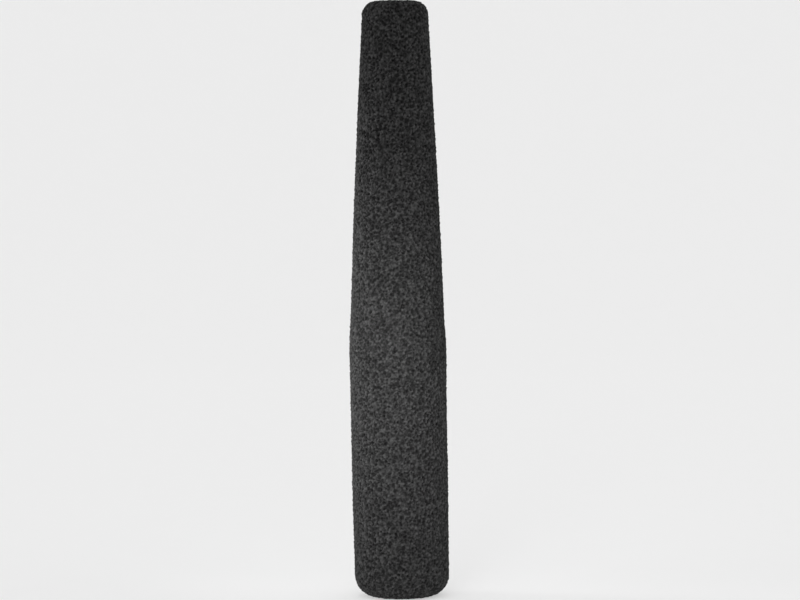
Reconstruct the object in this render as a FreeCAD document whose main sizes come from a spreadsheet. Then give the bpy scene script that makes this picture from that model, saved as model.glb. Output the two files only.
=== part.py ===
# Slip-on foam windscreen for a shotgun microphone.
#
# A blank of open-cell foam is bored right through, a foam plug is glued into the far end of the bore, and
# the two are then ground together to the outer form: a plain cylinder over the lower part, a long and very
# slightly convex taper above it, and both ends rounded. The open mouth is the underside.
#
# Frame: millimetres, +Z up from the mouth to the tip, origin at the centre of the mouth.

import FreeCAD
import Part
import Sketcher

import math
import os

DIMENSIONS = {
    "overall_length": 280.0,      # mouth to tip
    "mouth_diameter": 44.2,       # the foam draws in a little towards its cut end
    "body_diameter": 45.0,        # cylinder
    "waist_height": 55.0,         # where the cylinder reaches its full diameter
    "shoulder_height": 118.0,     # where the cylinder ends and the taper starts
    "middle_height": 198.0,       # half-way up the taper
    "middle_diameter": 38.5,
    "tip_diameter": 30.2,         # taper carried on to the tip's plane
    "mouth_corner": 10.0,         # radius ground on the outer edge of the mouth
    "tip_corner": 6.3,            # radius ground on the edge of the tip
    "bore_diameter": 20.0,        # stretches over a barrel of 19 to 22
    "plug_length": 25.0,          # foam in front of the microphone
    "plug_diameter": 20.5,        # cut a little too large, so that it stretches its seat
    "glue_thickness": 0.3,
    "cutter_overrun": 5.0,        # how far cutting tools run past a face
}

doc = FreeCAD.newDocument("FoamWindscreen")


def make_sheet():
    """Put the driving dimensions in a spreadsheet, one named cell each."""
    sheet = doc.addObject("Spreadsheet::Sheet", "Dims")
    for row, (name, value) in enumerate(DIMENSIONS.items(), start=1):
        sheet.set(f"A{row}", name)
        sheet.set(f"B{row}", str(value))
        sheet.setAlias(f"B{row}", name)
    doc.recompute()
    return sheet


def bind(sketch, constraint, name, expression):
    """Add a sketch constraint, name it and drive it from the sheet."""
    index = sketch.addConstraint(constraint)
    sketch.renameConstraint(index, name)
    sketch.setExpression(f"Constraints.{name}", expression)


def side_starts(outline, corners):
    """Tell which end, 1 or 2, of each side lies on its own corner; an arc may run the other way."""
    starts = []
    for side, corner in enumerate(corners):
        at_corner = outline.getPoint(side, 1).distanceToPoint(corner) < 1e-6
        starts.append(1 if at_corner else 2)
    return starts


def draw_half_section(outline, sheet):
    """Draw the outer form's half section: axis, mouth, cylinder, taper and tip."""
    # Corners in order round the section: name, diameter and height, with None for zero.
    corners = [
        ("mouth_centre", None, None),
        ("mouth_edge", "mouth_diameter", None),
        ("waist", "body_diameter", "waist_height"),
        ("shoulder", "body_diameter", "shoulder_height"),
        ("tip_edge", "tip_diameter", "overall_length"),
        ("tip_centre", None, "overall_length"),
    ]
    points = []
    for _, diameter, height in corners:
        radius = sheet.get(diameter) / 2 if diameter else 0.0
        level = sheet.get(height) if height else 0.0
        points.append(FreeCAD.Vector(radius, level, 0))
    middle = FreeCAD.Vector(sheet.middle_diameter / 2, sheet.middle_height, 0)

    # Side number i runs from corner i to the next one. The side above the shoulder is the taper's arc.
    for side, (name, _, _) in enumerate(corners):
        start = points[side]
        end = points[(side + 1) % len(points)]
        if name == "shoulder":
            taper = outline.addGeometry(Part.Arc(start, middle, end), False)
        else:
            outline.addGeometry(Part.LineSegment(start, end), False)

    starts = side_starts(outline, points)
    for side, start in enumerate(starts):
        previous = (side - 1) % len(starts)
        end_of_previous = 3 - starts[previous]
        outline.addConstraint(Sketcher.Constraint("Coincident", previous, end_of_previous, side, start))

    x_axis = -1
    z_axis = -2
    for side, (name, diameter, height) in enumerate(corners):
        start = starts[side]
        if diameter:
            across = Sketcher.Constraint("DistanceX", -1, 1, side, start, points[side].x)
            bind(outline, across, name + "_radius", f"Dims.{diameter} / 2")
        else:
            outline.addConstraint(Sketcher.Constraint("PointOnObject", side, start, z_axis))
        if height:
            up = Sketcher.Constraint("DistanceY", -1, 1, side, start, points[side].y)
            bind(outline, up, name + "_height", f"Dims.{height}")
        else:
            outline.addConstraint(Sketcher.Constraint("PointOnObject", side, start, x_axis))

    # A construction point half-way up bows the taper outwards.
    bow = outline.addGeometry(Part.Point(middle), True)
    across = Sketcher.Constraint("DistanceX", -1, 1, bow, 1, middle.x)
    bind(outline, across, "middle_radius", "Dims.middle_diameter / 2")
    up = Sketcher.Constraint("DistanceY", -1, 1, bow, 1, middle.y)
    bind(outline, up, "middle_level", "Dims.middle_height")
    outline.addConstraint(Sketcher.Constraint("PointOnObject", bow, 1, taper))


def circular_edge(shape, radius, height):
    """Name the full circular edge of this radius at this height."""
    for index, edge in enumerate(shape.Edges, start=1):
        if not isinstance(edge.Curve, Part.Circle):
            continue
        right_radius = math.isclose(edge.Curve.Radius, radius, abs_tol=1e-3)
        right_height = math.isclose(edge.Curve.Center.z, height, abs_tol=1e-3)
        if right_radius and right_height:
            return f"Edge{index}"
    raise ValueError(f"no circular edge of radius {radius} at height {height}")


def round_edge(body, name, base, radius, height, size_expression):
    """Round one circular edge of the base feature."""
    fillet = body.newObject("PartDesign::Fillet", name)
    fillet.Base = (base, [circular_edge(base.Shape, radius, height)])
    fillet.setExpression("Radius", size_expression)
    doc.recompute()
    return fillet


def make_outer_form(sheet):
    """Turn the whole outer form, solid to its axis, and round its two outer edges."""
    body = doc.addObject("PartDesign::Body", "OuterForm")
    outline = body.newObject("Sketcher::SketchObject", "HalfSection")
    plane = next(item for item in body.Origin.OriginFeatures if item.Role == "XZ_Plane")
    outline.AttachmentSupport = (plane, "")
    outline.MapMode = "FlatFace"
    draw_half_section(outline, sheet)

    turned = body.newObject("PartDesign::Revolution", "Turned")
    turned.Profile = outline
    turned.ReferenceAxis = (outline, ["V_Axis"])
    turned.Angle = 360
    doc.recompute()

    mouth_radius = sheet.mouth_diameter / 2
    tip_radius = sheet.tip_diameter / 2
    mouth_round = round_edge(body, "MouthRound", turned, mouth_radius, 0.0, "Dims.mouth_corner")
    round_edge(body, "TipRound", mouth_round, tip_radius, sheet.overall_length, "Dims.tip_corner")
    return body


def make_cylinder(name, radius, bottom, height):
    """Make a cylinder on the axis; radius, bottom and height are expressions of the sheet."""
    cylinder = doc.addObject("Part::Cylinder", name)
    cylinder.setExpression("Radius", radius)
    cylinder.setExpression("Height", height)
    cylinder.setExpression("Placement.Base.z", bottom)
    return cylinder


def make_boolean(kind, label, base, tool):
    """Combine two shapes with Part::Cut or Part::Common."""
    result = doc.addObject(kind, label)
    result.Label = label
    result.Base = base
    result.Tool = tool
    return result


def make_pieces(sheet):
    """Cut the sleeve, its plug and the glue between them out of the outer form."""
    outer_form = make_outer_form(sheet)

    bore_radius = "Dims.bore_diameter / 2"
    plug_radius = "Dims.plug_diameter / 2"
    seat_radius = "Dims.plug_diameter / 2 + Dims.glue_thickness"
    bore_end = "Dims.overall_length - Dims.plug_length"
    seat_height = "Dims.plug_length + Dims.cutter_overrun"
    drill_height = "Dims.overall_length - Dims.plug_length + Dims.cutter_overrun"

    bore_drill = make_cylinder("BoreDrill", bore_radius, "-Dims.cutter_overrun", drill_height)
    seat_cutter = make_cylinder("SeatCutter", seat_radius, bore_end, seat_height)
    seat_filling = make_cylinder("SeatFilling", seat_radius, bore_end, seat_height)
    plug_blank = make_cylinder("PlugBlank", plug_radius, bore_end, seat_height)
    plug_cutter = make_cylinder("PlugCutter", plug_radius, bore_end, seat_height)

    bored = make_boolean("Part::Cut", "Bored", outer_form, bore_drill)
    sleeve = make_boolean("Part::Cut", "foam_sleeve", bored, seat_cutter)

    plug = make_boolean("Part::Common", "tip_plug", outer_form, plug_blank)

    film_blank = make_boolean("Part::Cut", "FilmBlank", seat_filling, plug_cutter)
    film = make_boolean("Part::Common", "plug_glue_film", outer_form, film_blank)
    return [sleeve, plug, film]


def check_document():
    """Stop if any object of the document failed to compute."""
    for item in doc.Objects:
        if "Invalid" in item.State or "Error" in item.State:
            raise RuntimeError(f"{item.Label} did not compute: {item.State}")


def export_pieces(pieces):
    """Check that each piece is one valid solid, then write each to a STEP file named after it."""
    for piece in pieces:
        shape = piece.Shape
        if shape.isNull() or not shape.isValid() or len(shape.Solids) != 1:
            raise RuntimeError(f"{piece.Label} is not one valid solid")
    os.makedirs("parts", exist_ok=True)
    for piece in pieces:
        piece.Shape.exportStep(f"parts/{piece.Label}.step")
        volume = piece.Shape.Volume
        box = piece.Shape.optimalBoundingBox(True, False)
        print(f"{piece.Label}: {volume:.0f} mm3, width {box.XLength:.2f}, Z {box.ZMin:.2f} to {box.ZMax:.2f}")


dims = make_sheet()
windscreen = make_pieces(dims)
doc.recompute()
check_document()
export_pieces(windscreen)
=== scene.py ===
"""Looks of a slip-on foam windscreen for a shotgun microphone.

The sleeve, its tip plug and the glue between them are spun from the outlines of the CAD solids. The foam's
open cells are cut into the meshes. A backdrop, three soft boxes and a camera make the stage.
"""

import math

import bmesh
import bpy
import numpy as np
from mathutils import Matrix, Vector


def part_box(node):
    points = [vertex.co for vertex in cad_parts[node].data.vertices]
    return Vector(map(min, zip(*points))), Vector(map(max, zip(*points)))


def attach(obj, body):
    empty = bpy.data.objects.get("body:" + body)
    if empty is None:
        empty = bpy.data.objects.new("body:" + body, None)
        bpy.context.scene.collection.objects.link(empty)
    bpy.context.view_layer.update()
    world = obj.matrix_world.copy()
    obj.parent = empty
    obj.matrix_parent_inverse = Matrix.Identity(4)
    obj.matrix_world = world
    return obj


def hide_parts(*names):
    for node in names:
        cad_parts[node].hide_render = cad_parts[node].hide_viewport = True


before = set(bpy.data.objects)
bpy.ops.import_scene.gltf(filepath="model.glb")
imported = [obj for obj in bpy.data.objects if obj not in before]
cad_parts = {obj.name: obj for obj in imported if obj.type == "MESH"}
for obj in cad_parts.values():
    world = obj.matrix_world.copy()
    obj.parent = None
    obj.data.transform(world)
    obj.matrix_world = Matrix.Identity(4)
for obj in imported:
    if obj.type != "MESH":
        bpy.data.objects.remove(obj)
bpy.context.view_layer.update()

bl_info = {
    "name": "Foam Windscreen",
    "version": (1, 0, 0),
    "blender": (4, 5, 0),
    "location": "View3D > Sidebar > Windscreen",
    "description": "Builds a slip-on foam windscreen for a shotgun microphone on its packed frame",
    "category": "Mesh",
}

BODY = "root"


# ---------------------------------------------------------------------------------------------------------
# Settings
# ---------------------------------------------------------------------------------------------------------

class WindscreenFoam(bpy.types.PropertyGroup):
    """Structure and colour of the foam."""

    cell_size: bpy.props.FloatProperty(
        name="Cell size", description="Average width of one foam cell",
        default=0.0019, min=0.0005, unit="LENGTH", precision=5)
    cell_depth: bpy.props.FloatProperty(
        name="Cell depth", description="Depth of the deepest cells cut open at the surface",
        default=0.0008, min=0.0, unit="LENGTH", precision=5)
    fine_depth: bpy.props.FloatProperty(
        name="Fine depth", description="Depth of the small windows between the struts",
        default=0.0004, min=0.0, unit="LENGTH", precision=5)
    knot_height: bpy.props.FloatProperty(
        name="Knot height", description="How far the knots where struts meet stand out",
        default=0.00012, min=0.0, unit="LENGTH", precision=5)
    swell: bpy.props.FloatProperty(
        name="Swell", description="How far the struts spring out past the turned outline once they are cut",
        default=0.0002, min=0.0, unit="LENGTH", precision=5)
    lump_height: bpy.props.FloatProperty(
        name="Lump height", description="How far the hand-ground surface wanders in and out",
        default=0.00018, min=0.0, unit="LENGTH", precision=5)
    shoulder_ridge: bpy.props.FloatProperty(
        name="Shoulder ridge", description="Step left where grinding of the taper began",
        default=0.0002, min=0.0, unit="LENGTH", precision=5)
    bow: bpy.props.FloatProperty(
        name="Bow", description="How far the middle of the soft sleeve bends off its straight axis",
        default=0.0007, unit="LENGTH", precision=5)
    foam_colour: bpy.props.FloatVectorProperty(
        name="Foam colour", description="Colour of the struts at the surface",
        subtype="COLOR", size=3, default=(0.0130, 0.0130, 0.0130), min=0.0, max=1.0)
    # Painted shade: the colour that the open cells are darkened towards, standing in for the shade inside
    # them.
    pit_shade_colour: bpy.props.FloatVectorProperty(
        name="Pit colour", description="Colour deep inside an open cell",
        subtype="COLOR", size=3, default=(0.0036, 0.0036, 0.0037), min=0.0, max=1.0)
    glue_colour: bpy.props.FloatVectorProperty(
        name="Glue colour", description="Colour of the cured glue round the plug",
        subtype="COLOR", size=3, default=(0.014, 0.014, 0.014), min=0.0, max=1.0)


class WindscreenStage(bpy.types.PropertyGroup):
    """Camera, backdrop and light."""

    camera_distance: bpy.props.FloatProperty(
        name="Camera distance", description="From the camera to the windscreen's axis",
        default=1.4, min=0.5, unit="LENGTH")
    eye_height: bpy.props.FloatProperty(
        name="Eye height", description="Height of the camera above the floor",
        default=0.190, unit="LENGTH", precision=4)
    aim_height: bpy.props.FloatProperty(
        name="Aim height", description="Height on the windscreen that the camera looks at",
        default=0.13975, unit="LENGTH", precision=5)
    aim_side: bpy.props.FloatProperty(
        name="Aim side", description="How far to the right of the axis the camera looks",
        default=0.0006, unit="LENGTH", precision=5)
    frame_height: bpy.props.FloatProperty(
        name="Frame height", description="Height that fills the picture at the windscreen's distance",
        default=0.2824, min=0.1, unit="LENGTH", precision=4)
    lean: bpy.props.FloatProperty(
        name="Lean", description="How far the windscreen leans to the left in the picture",
        default=math.radians(0.74), subtype="ANGLE")
    backdrop_radius: bpy.props.FloatProperty(
        name="Backdrop radius", description="Radius of the round backdrop's wall",
        default=3.2, min=2.0, unit="LENGTH")
    backdrop_colour: bpy.props.FloatVectorProperty(
        name="Backdrop colour", description="Colour of the floor and backdrop",
        subtype="COLOR", size=3, default=(0.50, 0.50, 0.50), min=0.0, max=1.0)
    backdrop_glow: bpy.props.FloatProperty(
        name="Backdrop glow", description="Light that the backdrop gives off by itself",
        default=0.43, min=0.0)
    room_light: bpy.props.FloatProperty(
        name="Room light", description="Brightness of the even light all round",
        default=0.74, min=0.0)
    key_power: bpy.props.FloatProperty(
        name="Key power", description="Power of the small soft box close by on the left, in watts",
        default=0.041, min=0.0)
    fill_power: bpy.props.FloatProperty(
        name="Fill power", description="Power of the low soft box in front, in watts",
        default=0.043, min=0.0)
    rim_power: bpy.props.FloatProperty(
        name="Rim power", description="Power of the narrow soft box behind on the left, in watts",
        default=0.09, min=0.0)


# ---------------------------------------------------------------------------------------------------------
# Noise in space, the same on every run
# ---------------------------------------------------------------------------------------------------------

# Large odd numbers that scatter the bits of a lattice corner and a seed.
AXIS_FACTORS = (0x8DA6B343, 0xD8163841, 0xCB1AB31F)
SEED_FACTOR = 0x9E3779B1
STIR_ROUNDS = ((16, 0x7FEB352D), (15, 0x846CA68B), (16, 1))      # bits shifted, then the factor
ALL_BITS = 0xFFFFFFFF
FAR = 9.0                 # farther, squared and in cell sizes, than the nearest cell seeds


def lattice_random(corner, seed):
    """One random number from 0 to 1 for each whole-number corner (x, y, z)."""
    whole = corner.astype(np.int64).astype(np.uint32)
    mixed = np.full(len(whole), (seed * SEED_FACTOR) & ALL_BITS, np.uint32)
    for axis, factor in enumerate(AXIS_FACTORS):
        mixed ^= whole[:, axis] * np.uint32(factor)
    for shift, factor in STIR_ROUNDS:
        mixed ^= mixed >> np.uint32(shift)
        mixed *= np.uint32(factor)
    return mixed / 2.0 ** 32


def smooth_noise(points, wavelength, seed):
    """Smooth noise from -1 to 1 that changes over about one wavelength."""
    scaled = points / wavelength
    corner = np.floor(scaled)
    part = scaled - corner
    part = part * part * (3 - 2 * part)
    total = np.zeros(len(points))
    for step in np.ndindex(2, 2, 2):
        weight = np.ones(len(points))
        for axis in range(3):
            weight *= part[:, axis] if step[axis] else 1 - part[:, axis]
        total += weight * lattice_random(corner + step, seed)
    return 2 * total - 1


def cell_pattern(points, size, seed):
    """Distances to the cell's seed, wall and strut, in cell sizes, and a random number per cell."""
    scaled = points / size
    corner = np.floor(scaled)
    nearest = np.full(len(points), FAR)
    second = np.full(len(points), FAR)
    third = np.full(len(points), FAR)
    tone = np.zeros(len(points))
    for step in np.ndindex(3, 3, 3):
        cell = corner + (np.array(step) - 1)
        away = np.zeros(len(points))
        for axis in range(3):
            seed_place = cell[:, axis] + lattice_random(cell, seed + 1 + axis)
            away += (scaled[:, axis] - seed_place) ** 2
        third = np.minimum(third, np.maximum(second, away))
        second = np.minimum(second, np.maximum(nearest, away))
        tone = np.where(away < nearest, lattice_random(cell, seed), tone)
        nearest = np.minimum(nearest, away)
    centre = np.sqrt(nearest)
    return centre, np.sqrt(second) - centre, np.sqrt(third) - centre, tone


def smooth_step(low, high, value):
    """0 below low, 1 above high, smooth between."""
    share = np.clip((value - low) / (high - low), 0, 1)
    return share * share * (3 - 2 * share)


def at_least(low, value):
    """Squeeze a number from 0 to 1 into low to 1."""
    return low + (1 - low) * value


# ---------------------------------------------------------------------------------------------------------
# Shaders
# ---------------------------------------------------------------------------------------------------------

class Field:
    """A shader socket that Python's operators add Math nodes to."""

    def __init__(self, maker, socket):
        self.maker = maker
        self.socket = socket

    def math(self, operation, *values):
        inputs = dict(enumerate(values))
        return self.maker.node("ShaderNodeMath", {"operation": operation}, inputs)

    def __add__(self, other):
        return self.math("ADD", self, other)

    def __radd__(self, other):
        return self.math("ADD", other, self)

    def __sub__(self, other):
        return self.math("SUBTRACT", self, other)

    def __rsub__(self, other):
        return self.math("SUBTRACT", other, self)

    def __mul__(self, other):
        return self.math("MULTIPLY", self, other)

    def __rmul__(self, other):
        return self.math("MULTIPLY", other, self)


class MaterialMaker:
    """Builds one material from nodes."""

    def __init__(self, name):
        self.material = bpy.data.materials.new(name)
        self.material.use_nodes = True
        self.nodes = self.material.node_tree.nodes
        self.links = self.material.node_tree.links
        self.shader = next(n for n in self.nodes if n.type == "BSDF_PRINCIPLED")

    def node(self, kind, settings=None, inputs=None, output=0):
        """Add a node: its settings first, then the values or links of its sockets."""
        made = self.nodes.new(kind)
        for name, value in (settings or {}).items():
            setattr(made, name, value)
        for key, value in (inputs or {}).items():
            self.feed(self.find(made.inputs, key), value)
        return Field(self, self.find(made.outputs, output))

    def find(self, sockets, key):
        """A socket by its number, identifier or name."""
        if isinstance(key, int):
            return sockets[key]
        return next(s for s in sockets if key in (s.identifier, s.name))

    def feed(self, socket, value):
        """Link a field to a socket, or set the socket's own value."""
        if isinstance(value, Field):
            self.links.new(value.socket, socket)
        elif isinstance(value, (int, float)) or socket.type == "VECTOR":
            socket.default_value = value
        else:
            socket.default_value = (*value, 1.0)

    def set(self, **values):
        """Set the shader's sockets; an underscore stands for a space in a socket's name."""
        for name, value in values.items():
            self.feed(self.find(self.shader.inputs, name.replace("_", " ")), value)

    def mix(self, factor, first, second):
        """Mix two colours."""
        inputs = {"Factor_Float": factor, "A_Color": first, "B_Color": second}
        return self.node("ShaderNodeMix", {"data_type": "RGBA"}, inputs, "Result_Color")

    def noise(self, place, scale, detail=2.0, roughness=0.5):
        """Noise from 0 to 1; the scale is in waves per metre."""
        inputs = {"Vector": place, "Scale": scale, "Detail": detail, "Roughness": roughness}
        return self.node("ShaderNodeTexNoise", {}, inputs, "Fac")

    def attribute(self, name):
        """A number that the mesh keeps at each vertex."""
        return self.node("ShaderNodeAttribute", {"attribute_name": name}, {}, "Fac")


def scaled_colour(colour, share):
    """A darker or lighter colour of the same hue."""
    return tuple(channel * share for channel in colour)


# Scales in waves, or pores, per metre.
MOTTLE_SCALE = 45.0       # slow change of shade along the sleeve
GRAIN_SCALE = 1400.0      # specks on the struts
FIBRE_SCALE = 3200.0      # fuzz on the cut ends
PORE_SCALE = 1050.0       # small pores between the modelled cells
# The pores' darkening is painted shade in the hollows.
PORE_SLOPE = 3.5          # how fast a pore darkens from its rim to its middle
# Shades of the struts, as shares of the foam's colour. The brightest share, for the knots, is a painted
# highlight.
DULL_STRUT = 0.75
KNOT_HIGHLIGHT_SHARE = 6.6
MOTTLED = 0.85
GRAINED = 0.6

GLUE_BLOTCH_SCALE = 260.0
GLUE_WRINKLE_SCALE = 900.0
PAPER_FLECK_SCALE = 30.0


def foam_material(foam):
    """Matt charcoal foam: grey struts, faint mottling and specks, with painted shade in the open cells and
    small pores and painted highlight on the knots and crumbs.
    """
    maker = MaterialMaker("charcoal_foam")
    place = maker.node("ShaderNodeTexCoord", {}, {}, "Object")
    # The pit attribute is painted shade in the open cells; the knot attribute is painted highlight on the
    # knots and crumbs.
    pit_shade = maker.attribute("pit_shade")
    knot = maker.attribute("knot")
    mottle = maker.noise(place, MOTTLE_SCALE, 3.0)
    grain = maker.noise(place, GRAIN_SCALE, 2.0, 0.6)
    fibre = maker.noise(place, FIBRE_SCALE, 1.0)
    # Small pores: a bump, and painted shade that deepens towards each pore's middle.
    pores = {"Vector": place, "Scale": PORE_SCALE}
    rim = maker.node("ShaderNodeTexVoronoi", {"feature": "DISTANCE_TO_EDGE"}, pores, "Distance")
    slope = {"operation": "MULTIPLY", "use_clamp": True}
    pore_depth_and_shade = maker.node("ShaderNodeMath", slope, {0: rim, 1: PORE_SLOPE})

    light = foam.foam_colour
    # Painted highlight: the knots and crumbs are lightened towards the knot share of the foam's colour.
    strut = maker.mix(knot, scaled_colour(light, DULL_STRUT), scaled_colour(light, KNOT_HIGHLIGHT_SHARE))
    worn = maker.mix(mottle * 0.4, strut, scaled_colour(light, MOTTLED))
    grained = maker.mix(grain * 0.35, worn, scaled_colour(light, GRAINED))
    # Painted shade: the open cells and small pores are darkened towards the pit colour.
    maker.set(Base_Color=maker.mix(pit_shade * 0.6 + pore_depth_and_shade * 0.12, grained, foam.pit_shade_colour))
    maker.set(Roughness=0.98 - 0.16 * grain)
    height = grain * 0.5 + fibre * 0.3 - pore_depth_and_shade * 0.8
    bump = {"Strength": 0.6, "Distance": 0.00025, "Height": height}
    maker.set(Normal=maker.node("ShaderNodeBump", {}, bump))
    maker.set(Specular_IOR_Level=0.08, Sheen_Weight=0.015, Sheen_Roughness=0.5)
    return maker.material


def glue_material(foam):
    """Cured flexible glue: black, satin, slightly wrinkled."""
    maker = MaterialMaker("cured_glue")
    place = maker.node("ShaderNodeTexCoord", {}, {}, "Object")
    blotch = maker.noise(place, GLUE_BLOTCH_SCALE, 3.0)
    wrinkle = maker.noise(place, GLUE_WRINKLE_SCALE, 3.0, 0.6)
    colour = foam.glue_colour
    maker.set(Base_Color=maker.mix(blotch, scaled_colour(colour, 0.7), scaled_colour(colour, 1.6)))
    maker.set(Roughness=0.38 + 0.3 * blotch)
    bump = {"Strength": 0.5, "Distance": 0.0001, "Height": wrinkle}
    maker.set(Normal=maker.node("ShaderNodeBump", {}, bump))
    return maker.material


def backdrop_material(stage):
    """Pale matt paper that glows a little, so that it looks evenly lit."""
    maker = MaterialMaker("pale_paper")
    place = maker.node("ShaderNodeTexCoord", {}, {}, "Object")
    fleck = maker.noise(place, PAPER_FLECK_SCALE, 2.0)
    colour = stage.backdrop_colour
    maker.set(Base_Color=maker.mix(fleck, scaled_colour(colour, 0.99), colour))
    maker.set(Roughness=0.9, Specular_IOR_Level=0.1)
    maker.set(Emission_Color=(1.0, 1.0, 1.0), Emission_Strength=stage.backdrop_glow)
    return maker.material


# ---------------------------------------------------------------------------------------------------------
# Turned foam pieces
# ---------------------------------------------------------------------------------------------------------

RING_STEPS = 112          # faces round a turned piece before it is subdivided
FACE_LENGTH = 0.0012      # length of those faces along the outline
SUBDIVISIONS = 2          # halves each face this many times
LONGEST_FACE = 0.006      # where nothing shows, deep inside the bore and the seat
BORE_GROWTH = 1.06        # each face down the bore is this much longer than the one before
SEAT_GROWTH = 1.6         # the same where the sleeve and the plug face each other
DOUBLE = 1e-6             # vertices closer than this are one
LEVEL = 1e-4              # rings below this height lie on the mouth face
HAIR = 1e-5               # radii that differ by less are equal


def turned_rings(node):
    """The radius and height of each ring of vertices in a turned CAD solid."""
    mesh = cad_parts[node].data
    places = np.empty(len(mesh.vertices) * 3)
    mesh.vertices.foreach_get("co", places)
    places = places.reshape(-1, 3)
    radius = np.hypot(places[:, 0], places[:, 1])
    return np.unique(np.column_stack([radius, places[:, 2]]).round(5), axis=0)


def outer_outline(node, inside=0.0):
    """The outer side of a turned CAD solid above its lowest ring, as (radius, height) from bottom to top.

    Rings no wider than inside belong to a bore, unless they are the lowest or the highest.
    """
    widest = {}
    for radius, height in turned_rings(node):
        widest[height] = max(radius, widest.get(height, 0.0))
    heights = sorted(widest)
    ends = (heights[0], heights[-1])
    return np.array([(widest[z], z) for z in heights if widest[z] > inside or z in ends])


def evenly(points, spacing):
    """Points along a polyline, as near as they can be to the spacing."""
    points = np.asarray(points, float)
    along = np.r_[0, np.cumsum(np.hypot(*np.diff(points, axis=0).T))]
    count = max(1, round(along[-1] / spacing))
    places = np.linspace(0, along[-1], count + 1)
    return np.column_stack([np.interp(places, along, points[:, i]) for i in (0, 1)])


def spreading(start, end, first, growth, longest):
    """Points on a straight line whose steps grow from the first to the longest."""
    start, end = np.asarray(start, float), np.asarray(end, float)
    length = np.hypot(*(end - start))
    places = [0.0]
    step = first
    while places[-1] < length:
        places.append(places[-1] + step)
        step = min(step * growth, longest)
    shares = np.array(places) / places[-1]
    return start + shares[:, None] * (end - start)


def join_runs(*runs):
    """One outline from several runs that share their end points."""
    joined = list(runs[0])
    for run in runs[1:]:
        joined.extend(run[1:])
    return joined


def spin_outline(name, outline, closed):
    """Turn an outline of (radius, height) points about the Z axis into a mesh object."""
    shape = bmesh.new()
    corners = [shape.verts.new((radius, 0.0, height)) for radius, height in outline]
    edges = [shape.edges.new(pair) for pair in zip(corners, corners[1:])]
    if closed:
        edges.append(shape.edges.new((corners[-1], corners[0])))
    bmesh.ops.spin(shape, geom=corners + edges, cent=(0, 0, 0), axis=(0, 0, 1),
                   angle=math.tau, steps=RING_STEPS, use_merge=True)
    bmesh.ops.remove_doubles(shape, verts=shape.verts, dist=DOUBLE)
    bmesh.ops.recalc_face_normals(shape, faces=shape.faces)
    mesh = bpy.data.meshes.new(name)
    shape.to_mesh(mesh)
    shape.free()
    piece = bpy.data.objects.new(name, mesh)
    bpy.context.collection.objects.link(piece)
    return piece


def subdivide(piece):
    """Apply a subdivision surface to the piece."""
    smooth = piece.modifiers.new("Subdivision", "SUBSURF")
    smooth.levels = SUBDIVISIONS
    smooth.render_levels = SUBDIVISIONS
    evaluated = piece.evaluated_get(bpy.context.evaluated_depsgraph_get())
    mesh = bpy.data.meshes.new_from_object(evaluated)
    piece.modifiers.clear()
    piece.data = mesh
    mesh.shade_smooth()


def read_vertices(mesh):
    """Places and normals of a mesh's vertices, one row each."""
    places = np.empty(len(mesh.vertices) * 3)
    mesh.vertices.foreach_get("co", places)
    normals = np.empty(len(mesh.vertices) * 3)
    mesh.vertex_normals.foreach_get("vector", normals)
    return places.reshape(-1, 3), normals.reshape(-1, 3)


def write_places(mesh, places):
    """Move every vertex of a mesh."""
    mesh.vertices.foreach_set("co", places.ravel())


def write_attribute(mesh, name, values):
    """Keep one number per vertex for the material."""
    mesh.attributes.new(name, "FLOAT", "POINT")
    mesh.attributes[name].data.foreach_set("value", values)


# Sizes are shares of the foam's cell size, and seeds are steps from the piece's own seed.
WARP_WAVE = 1.6           # waves that pull the cells out of round
WARP_REACH = 0.22         # how far they pull
WARP_SEED = 10
DEEP_SIZE = 0.62          # cells behind the first ones
DEEP_SEED = 20
CRUMB_SIZE = 0.70         # crumbs of cut strut on the surface
CRUMB_SEED = 40
# Distances, in cell sizes, over which each part of a cell fades.
CRUMB_FADE = (0.15, 0.75)
OPENING_FADE = (0.02, 0.40)
WINDOW_FADE = (0.04, 0.45)
KNOT_FADE = (0.03, 0.50)
DEEP_KNOT_FADE = (0.05, 0.60)
# No two cells are the same: the weakest of each part, where the strongest is 1.
LEAST_CRUMB = 0.15
LEAST_OPENING = 0.30
LEAST_WINDOW = 0.35


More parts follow.
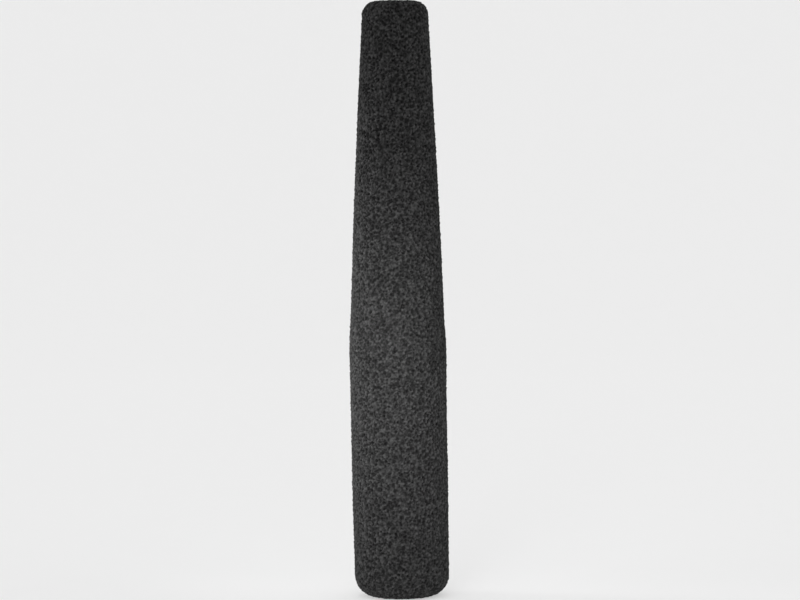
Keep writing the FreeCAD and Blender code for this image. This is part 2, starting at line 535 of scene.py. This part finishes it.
def open_cells(mesh, foam, seed, depth_share):
    """Cut the foam's open cells into a mesh, and keep at each point its painted shade and its painted
    highlight.
    """
    places, normals = read_vertices(mesh)
    size = foam.cell_size
    drift = [smooth_noise(places, WARP_WAVE * size, seed + WARP_SEED + axis) for axis in range(3)]
    warped = places + WARP_REACH * size * np.column_stack(drift)

    _, wall, strut, tone = cell_pattern(warped, size, seed)
    _, deep_wall, deep_strut, deep_tone = cell_pattern(warped, DEEP_SIZE * size, seed + DEEP_SEED)
    grain, _, _, grain_tone = cell_pattern(warped, CRUMB_SIZE * size, seed + CRUMB_SEED)

    crumb = (1 - smooth_step(*CRUMB_FADE, grain)) * at_least(LEAST_CRUMB, grain_tone)
    opened = smooth_step(*OPENING_FADE, wall) * at_least(LEAST_OPENING, tone)
    window = smooth_step(*WINDOW_FADE, deep_wall) * at_least(LEAST_WINDOW, deep_tone)
    knot = 1 - smooth_step(*KNOT_FADE, strut)
    deep_knot = 1 - smooth_step(*DEEP_KNOT_FADE, deep_strut)

    # Openings and the windows in them go in; crumbs, knots and the swell come out.
    depth = foam.cell_depth * opened * (1.2 - 0.8 * crumb)
    depth += foam.fine_depth * (0.6 * window + 0.5 - 0.8 * crumb)
    depth -= foam.swell + foam.knot_height * knot
    write_places(mesh, places - normals * (depth_share * depth)[:, None])
    # Painted shade darkens the open cells, and painted highlight lightens the knots and crumbs, with a
    # random strength per cell.
    pit_shade = opened * at_least(0.4, window) + 0.35 * window - 0.5 * crumb
    write_attribute(mesh, "pit_shade", np.clip(pit_shade, 0, 1))
    painted_highlight = knot * (0.1 + 0.5 * deep_tone) + 0.3 * deep_knot * tone + 0.8 * crumb
    write_attribute(mesh, "knot", np.clip(painted_highlight, 0, 1))


SLOW_WAVE = 0.030         # lengths of the waves that a hand leaves on a ground surface
QUICK_WAVE = 0.011
SLOW_SHARE = 0.65


def grind_by_hand(mesh, foam, seed):
    """Let the turned surface wander in and out a little, as hand-ground foam does."""
    places, normals = read_vertices(mesh)
    slow = smooth_noise(places, SLOW_WAVE, seed)
    quick = smooth_noise(places, QUICK_WAVE, seed + 1)
    wander = SLOW_SHARE * slow + (1 - SLOW_SHARE) * quick
    write_places(mesh, places + normals * (foam.lump_height * wander)[:, None])


def stand_flat(mesh):
    """Press the strut ends of the mouth face level with the surface that the piece stands on."""
    places, _ = read_vertices(mesh)
    places[:, 2] = np.maximum(places[:, 2], 0.0)
    write_places(mesh, places)


# Heights from the shoulder between which the step grows to its full height, and then ends.
STEP_GROWS = (-0.040, -0.002)
STEP_ENDS = (0.004, 0.012)


def raise_shoulder(mesh, foam, shoulder, outside):
    """Leave the faint step at the shoulder: full below it, ground away just above it."""
    places, normals = read_vertices(mesh)
    height = places[:, 2]
    below = smooth_step(shoulder + STEP_GROWS[0], shoulder + STEP_GROWS[1], height)
    above = 1 - smooth_step(shoulder + STEP_ENDS[0], shoulder + STEP_ENDS[1], height)
    on_side = np.hypot(places[:, 0], places[:, 1]) > outside
    lift = foam.shoulder_ridge * below * above * on_side
    write_places(mesh, places + normals * lift[:, None])


BOW_SHARPNESS = 1.2       # above 1 the bend gathers near the shoulder


def bend_axis(mesh, foam, shoulder, top):
    """Bow the piece sideways, most at the shoulder and not at all at its ends."""
    places, _ = read_vertices(mesh)
    height = places[:, 2]
    rise = np.clip(height / shoulder, 0, 1)
    fall = np.clip((top - height) / (top - shoulder), 0, 1)
    ramp = np.minimum(rise, fall)
    places[:, 0] -= foam.bow * np.sin(ramp * math.pi / 2) ** BOW_SHARPNESS
    write_places(mesh, places)


def settle(piece, node, material):
    """Give a finished piece its material and its place in the frame."""
    piece.data.materials.clear()
    piece.data.materials.append(material)
    piece.data.update()
    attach(piece, BODY)
    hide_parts(node)


PAST_SEAT = 1.01          # wider than this share of the plug's seat is outside


def sleeve_sizes():
    """Sizes that the pieces share, read from the CAD solids."""
    plug_low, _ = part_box("tip_plug")
    _, film_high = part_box("plug_glue_film")
    outline = outer_outline("foam_sleeve", inside=PAST_SEAT * film_high[0])
    rings = turned_rings("foam_sleeve")
    at_mouth = rings[rings[:, 1] < LEVEL][:, 0]
    widest = outline[outline[:, 0] > outline[:, 0].max() - HAIR]
    return {
        "outline": outline,
        "bore": float(at_mouth.min()),
        "seat": float(film_high[0]),
        "bore_end": float(plug_low[2]),
        "shoulder": float(widest[:, 1].max()),
        "top": float(outline[-1][1]),
    }


GRIND_SEED = 11           # the same for both pieces, because they are ground together
SLEEVE_SEED = 101
PLUG_SEED = 501
PLUG_DEPTH = 0.85         # the plug's cells are a little shallower
PAST_BORE = 1.2           # wider than this share of the bore is the outer side


class WINDSCREEN_OT_sleeve(bpy.types.Operator):
    """Make the foam sleeve with its bore, open cells and hand-ground outline"""

    bl_idname = "windscreen.sleeve"
    bl_label = "Foam Sleeve"

    def execute(self, context):
        foam = context.scene.windscreen_foam
        sizes = sleeve_sizes()
        bore, seat, bore_end = sizes["bore"], sizes["seat"], sizes["bore_end"]
        outside = evenly(sizes["outline"], FACE_LENGTH)
        mouth_edge = outside[0]
        tip_edge = outside[-1]
        short = FACE_LENGTH / 2

        seat_wall = spreading(tip_edge, (seat, bore_end), short, SEAT_GROWTH, LONGEST_FACE)
        ledge = evenly([(seat, bore_end), (bore, bore_end)], FACE_LENGTH)
        bore_wall = spreading((bore, 0.0), (bore, bore_end), short, BORE_GROWTH, LONGEST_FACE)[::-1]
        mouth_face = evenly([(bore, 0.0), mouth_edge], short)
        outline = join_runs(outside, seat_wall, ledge, bore_wall, mouth_face)[:-1]

        piece = spin_outline("foam_sleeve_skin", outline, closed=True)
        subdivide(piece)
        mesh = piece.data
        grind_by_hand(mesh, foam, seed=GRIND_SEED)
        raise_shoulder(mesh, foam, sizes["shoulder"], outside=PAST_BORE * bore)
        open_cells(mesh, foam, seed=SLEEVE_SEED, depth_share=1.0)
        stand_flat(mesh)
        bend_axis(mesh, foam, sizes["shoulder"], sizes["top"])
        settle(piece, "foam_sleeve", foam_material(foam))
        return {"FINISHED"}


class WINDSCREEN_OT_plug(bpy.types.Operator):
    """Make the foam plug that closes the tip"""

    bl_idname = "windscreen.plug"
    bl_label = "Tip Plug"

    def execute(self, context):
        foam = context.scene.windscreen_foam
        sizes = sleeve_sizes()
        low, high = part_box("tip_plug")
        radius = float(high[0])
        side_top, lid_edge = outer_outline("tip_plug")[-2:]
        bottom_corner = (radius, low[2])
        top_corner = (radius, side_top[1])
        floor = evenly([(0.0, low[2]), bottom_corner], FACE_LENGTH)
        side = spreading(top_corner, bottom_corner, FACE_LENGTH / 2, SEAT_GROWTH, LONGEST_FACE)[::-1]
        lid = evenly([top_corner, lid_edge, (0.0, high[2])], FACE_LENGTH)
        piece = spin_outline("tip_plug_skin", join_runs(floor, side, lid), closed=False)
        subdivide(piece)
        mesh = piece.data
        grind_by_hand(mesh, foam, seed=GRIND_SEED)
        open_cells(mesh, foam, seed=PLUG_SEED, depth_share=PLUG_DEPTH)
        bend_axis(mesh, foam, sizes["shoulder"], sizes["top"])
        settle(piece, "tip_plug", foam_material(foam))
        return {"FINISHED"}


GLUE_SUNK = 0.0003        # how far the glue ends below the tip's face
GLUE_CROWN = 0.0001       # how far its middle stands above its edges
SQUEEZE_DEPTH = 0.0020    # the part of the ring that was squeezed uneven
SQUEEZE_HEIGHT = 0.00016
SQUEEZE_WAVES = (0.003, 0.0011)
SQUEEZE_SEEDS = (71, 72)


class WINDSCREEN_OT_glue(bpy.types.Operator):
    """Make the film of glue between the plug and the sleeve"""

    bl_idname = "windscreen.glue"
    bl_label = "Plug Glue Film"

    def execute(self, context):
        foam = context.scene.windscreen_foam
        sizes = sleeve_sizes()
        low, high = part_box("plug_glue_film")
        inner = float(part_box("tip_plug")[1][0])
        outer = sizes["seat"]
        bottom = float(low[2])
        top = float(high[2]) - GLUE_SUNK
        crown = ((inner + outer) / 2, top + GLUE_CROWN)
        section = [(inner, bottom), (outer, bottom), (outer, top), crown, (inner, top)]
        piece = spin_outline("plug_glue_ring", section, closed=True)
        subdivide(piece)
        mesh = piece.data
        places, _ = read_vertices(mesh)
        slow, quick = (smooth_noise(places, *wave) for wave in zip(SQUEEZE_WAVES, SQUEEZE_SEEDS))
        upper = smooth_step(top - SQUEEZE_DEPTH, top, places[:, 2])
        places[:, 2] += SQUEEZE_HEIGHT * (slow + 0.5 * quick) * upper
        write_places(mesh, places)
        bend_axis(mesh, foam, sizes["shoulder"], sizes["top"])
        settle(piece, "plug_glue_film", glue_material(foam))
        return {"FINISHED"}


# ---------------------------------------------------------------------------------------------------------
# Stage
# ---------------------------------------------------------------------------------------------------------

FLOOR_RINGS = (0.0, 0.1, 0.4)     # radii of the flat floor's inner rings
SWEEP_STEPS = 12                  # faces in the curve from the floor to the wall
WALL_HEIGHT = 1.5                 # as a share of the backdrop's radius
PICTURE_SHAPE = 4 / 3             # width over height
SENSOR_WIDTH = 36.0               # in millimetres

# Where the lights stand and point. The small key box is close to the middle of the sleeve, so that its
# light falls off towards both ends.
KEY_TARGET = (0.0, 0.0, 0.127)
FILL_TARGET = (0.0, 0.0, 0.055)
KEY_PLACE = (-0.020, -0.110, 0.129)
FILL_PLACE = (-0.09, -0.55, 0.10)
RIM_PLACE = (-0.30, 0.12, 0.15)
# Width and height of each soft box, and the angle in degrees that its light spreads over.
KEY_BOX = (0.05, 0.09, 110)
FILL_BOX = (0.12, 0.06, 26)
RIM_BOX = (0.08, 0.20, 30)


def aim(thing, place, target, roll=0.0):
    """Put a camera or light at a place, pointed at a target."""
    direction = Vector(target) - Vector(place)
    turn = direction.to_track_quat("-Z", "Y").to_matrix().to_4x4()
    thing.matrix_world = Matrix.Translation(place) @ turn @ Matrix.Rotation(roll, 4, "Z")


def add_light(name, place, target, box, power):
    """Set up a soft box that lights the windscreen and doesn't show itself."""
    width, height, spread = box
    lamp = bpy.data.lights.new(name, "AREA")
    lamp.spread = math.radians(spread)
    lamp.shape = "RECTANGLE"
    lamp.size = width
    lamp.size_y = height
    lamp.energy = power
    light = bpy.data.objects.new(name, lamp)
    light.visible_camera = False
    bpy.context.collection.objects.link(light)
    aim(light, place, target)


def make_backdrop(stage):
    """A round floor that sweeps up into a wall all round, so that no horizon shows."""
    wall = stage.backdrop_radius
    sweep = wall / 2
    floor = [(radius, 0.0) for radius in (*FLOOR_RINGS, wall - sweep)]
    bend = []
    for step in range(1, SWEEP_STEPS + 1):
        angle = math.radians(90 * step / SWEEP_STEPS)
        bend.append((wall - sweep + sweep * math.sin(angle), sweep - sweep * math.cos(angle)))
    sides = [(wall, wall), (wall, WALL_HEIGHT * wall)]
    backdrop = spin_outline("backdrop", floor + bend + sides, closed=False)
    face_inwards(backdrop.data)
    backdrop.data.shade_smooth()
    backdrop.data.materials.append(backdrop_material(stage))


def face_inwards(mesh):
    """Turn the backdrop's faces towards the windscreen."""
    shape = bmesh.new()
    shape.from_mesh(mesh)
    lowest = min(shape.faces, key=lambda face: face.calc_center_median().length)
    if lowest.normal.z < 0:
        bmesh.ops.reverse_faces(shape, faces=shape.faces)
    shape.to_mesh(mesh)
    shape.free()


class WINDSCREEN_OT_stage(bpy.types.Operator):
    """Set up the backdrop, the lights and the camera"""

    bl_idname = "windscreen.stage"
    bl_label = "Stage"

    def execute(self, context):
        stage = context.scene.windscreen_stage
        make_backdrop(stage)
        world = bpy.data.worlds.new("soft_room")
        world.use_nodes = True
        background = next(n for n in world.node_tree.nodes if n.type == "BACKGROUND")
        background.inputs["Color"].default_value = (1.0, 1.0, 1.0, 1.0)
        background.inputs["Strength"].default_value = stage.room_light
        context.scene.world = world

        # This view keeps the tones of pale paper and dark foam as they are lit.
        context.scene.view_settings.view_transform = "Standard"
        add_light("key_box", KEY_PLACE, KEY_TARGET, KEY_BOX, stage.key_power)
        add_light("fill_box", FILL_PLACE, FILL_TARGET, FILL_BOX, stage.fill_power)
        add_light("rim_box", RIM_PLACE, KEY_TARGET, RIM_BOX, stage.rim_power)

        data = bpy.data.cameras.new("camera")
        data.sensor_width = SENSOR_WIDTH
        width = stage.frame_height * PICTURE_SHAPE
        data.lens = data.sensor_width * stage.camera_distance / width
        data.clip_start = 0.01
        camera = bpy.data.objects.new("camera", data)
        context.collection.objects.link(camera)
        place = (stage.aim_side, -stage.camera_distance, stage.eye_height)
        target = (stage.aim_side, 0.0, stage.aim_height)
        aim(camera, place, target, roll=-stage.lean)
        context.scene.camera = camera
        return {"FINISHED"}


class WINDSCREEN_PT_panel(bpy.types.Panel):
    """Buttons and settings of the windscreen"""

    bl_idname = "WINDSCREEN_PT_panel"
    bl_label = "Foam Windscreen"
    bl_space_type = "VIEW_3D"
    bl_region_type = "UI"
    bl_category = "Windscreen"

    def draw(self, context):
        for operator in OPERATORS:
            self.layout.operator(operator.bl_idname)
        for settings in (context.scene.windscreen_foam, context.scene.windscreen_stage):
            box = self.layout.box()
            for name in settings.__annotations__:
                box.prop(settings, name)


OPERATORS = (WINDSCREEN_OT_sleeve, WINDSCREEN_OT_plug, WINDSCREEN_OT_glue, WINDSCREEN_OT_stage)
CLASSES = (WindscreenFoam, WindscreenStage, *OPERATORS, WINDSCREEN_PT_panel)


def register():
    for item in CLASSES:
        bpy.utils.register_class(item)
    bpy.types.Scene.windscreen_foam = bpy.props.PointerProperty(type=WindscreenFoam)
    bpy.types.Scene.windscreen_stage = bpy.props.PointerProperty(type=WindscreenStage)


def unregister():
    del bpy.types.Scene.windscreen_stage
    del bpy.types.Scene.windscreen_foam
    for item in reversed(CLASSES):
        bpy.utils.unregister_class(item)


def main():
    register()
    bpy.ops.windscreen.sleeve()
    bpy.ops.windscreen.plug()
    bpy.ops.windscreen.glue()
    bpy.ops.windscreen.stage()


if __name__ == "__main__":
    main()
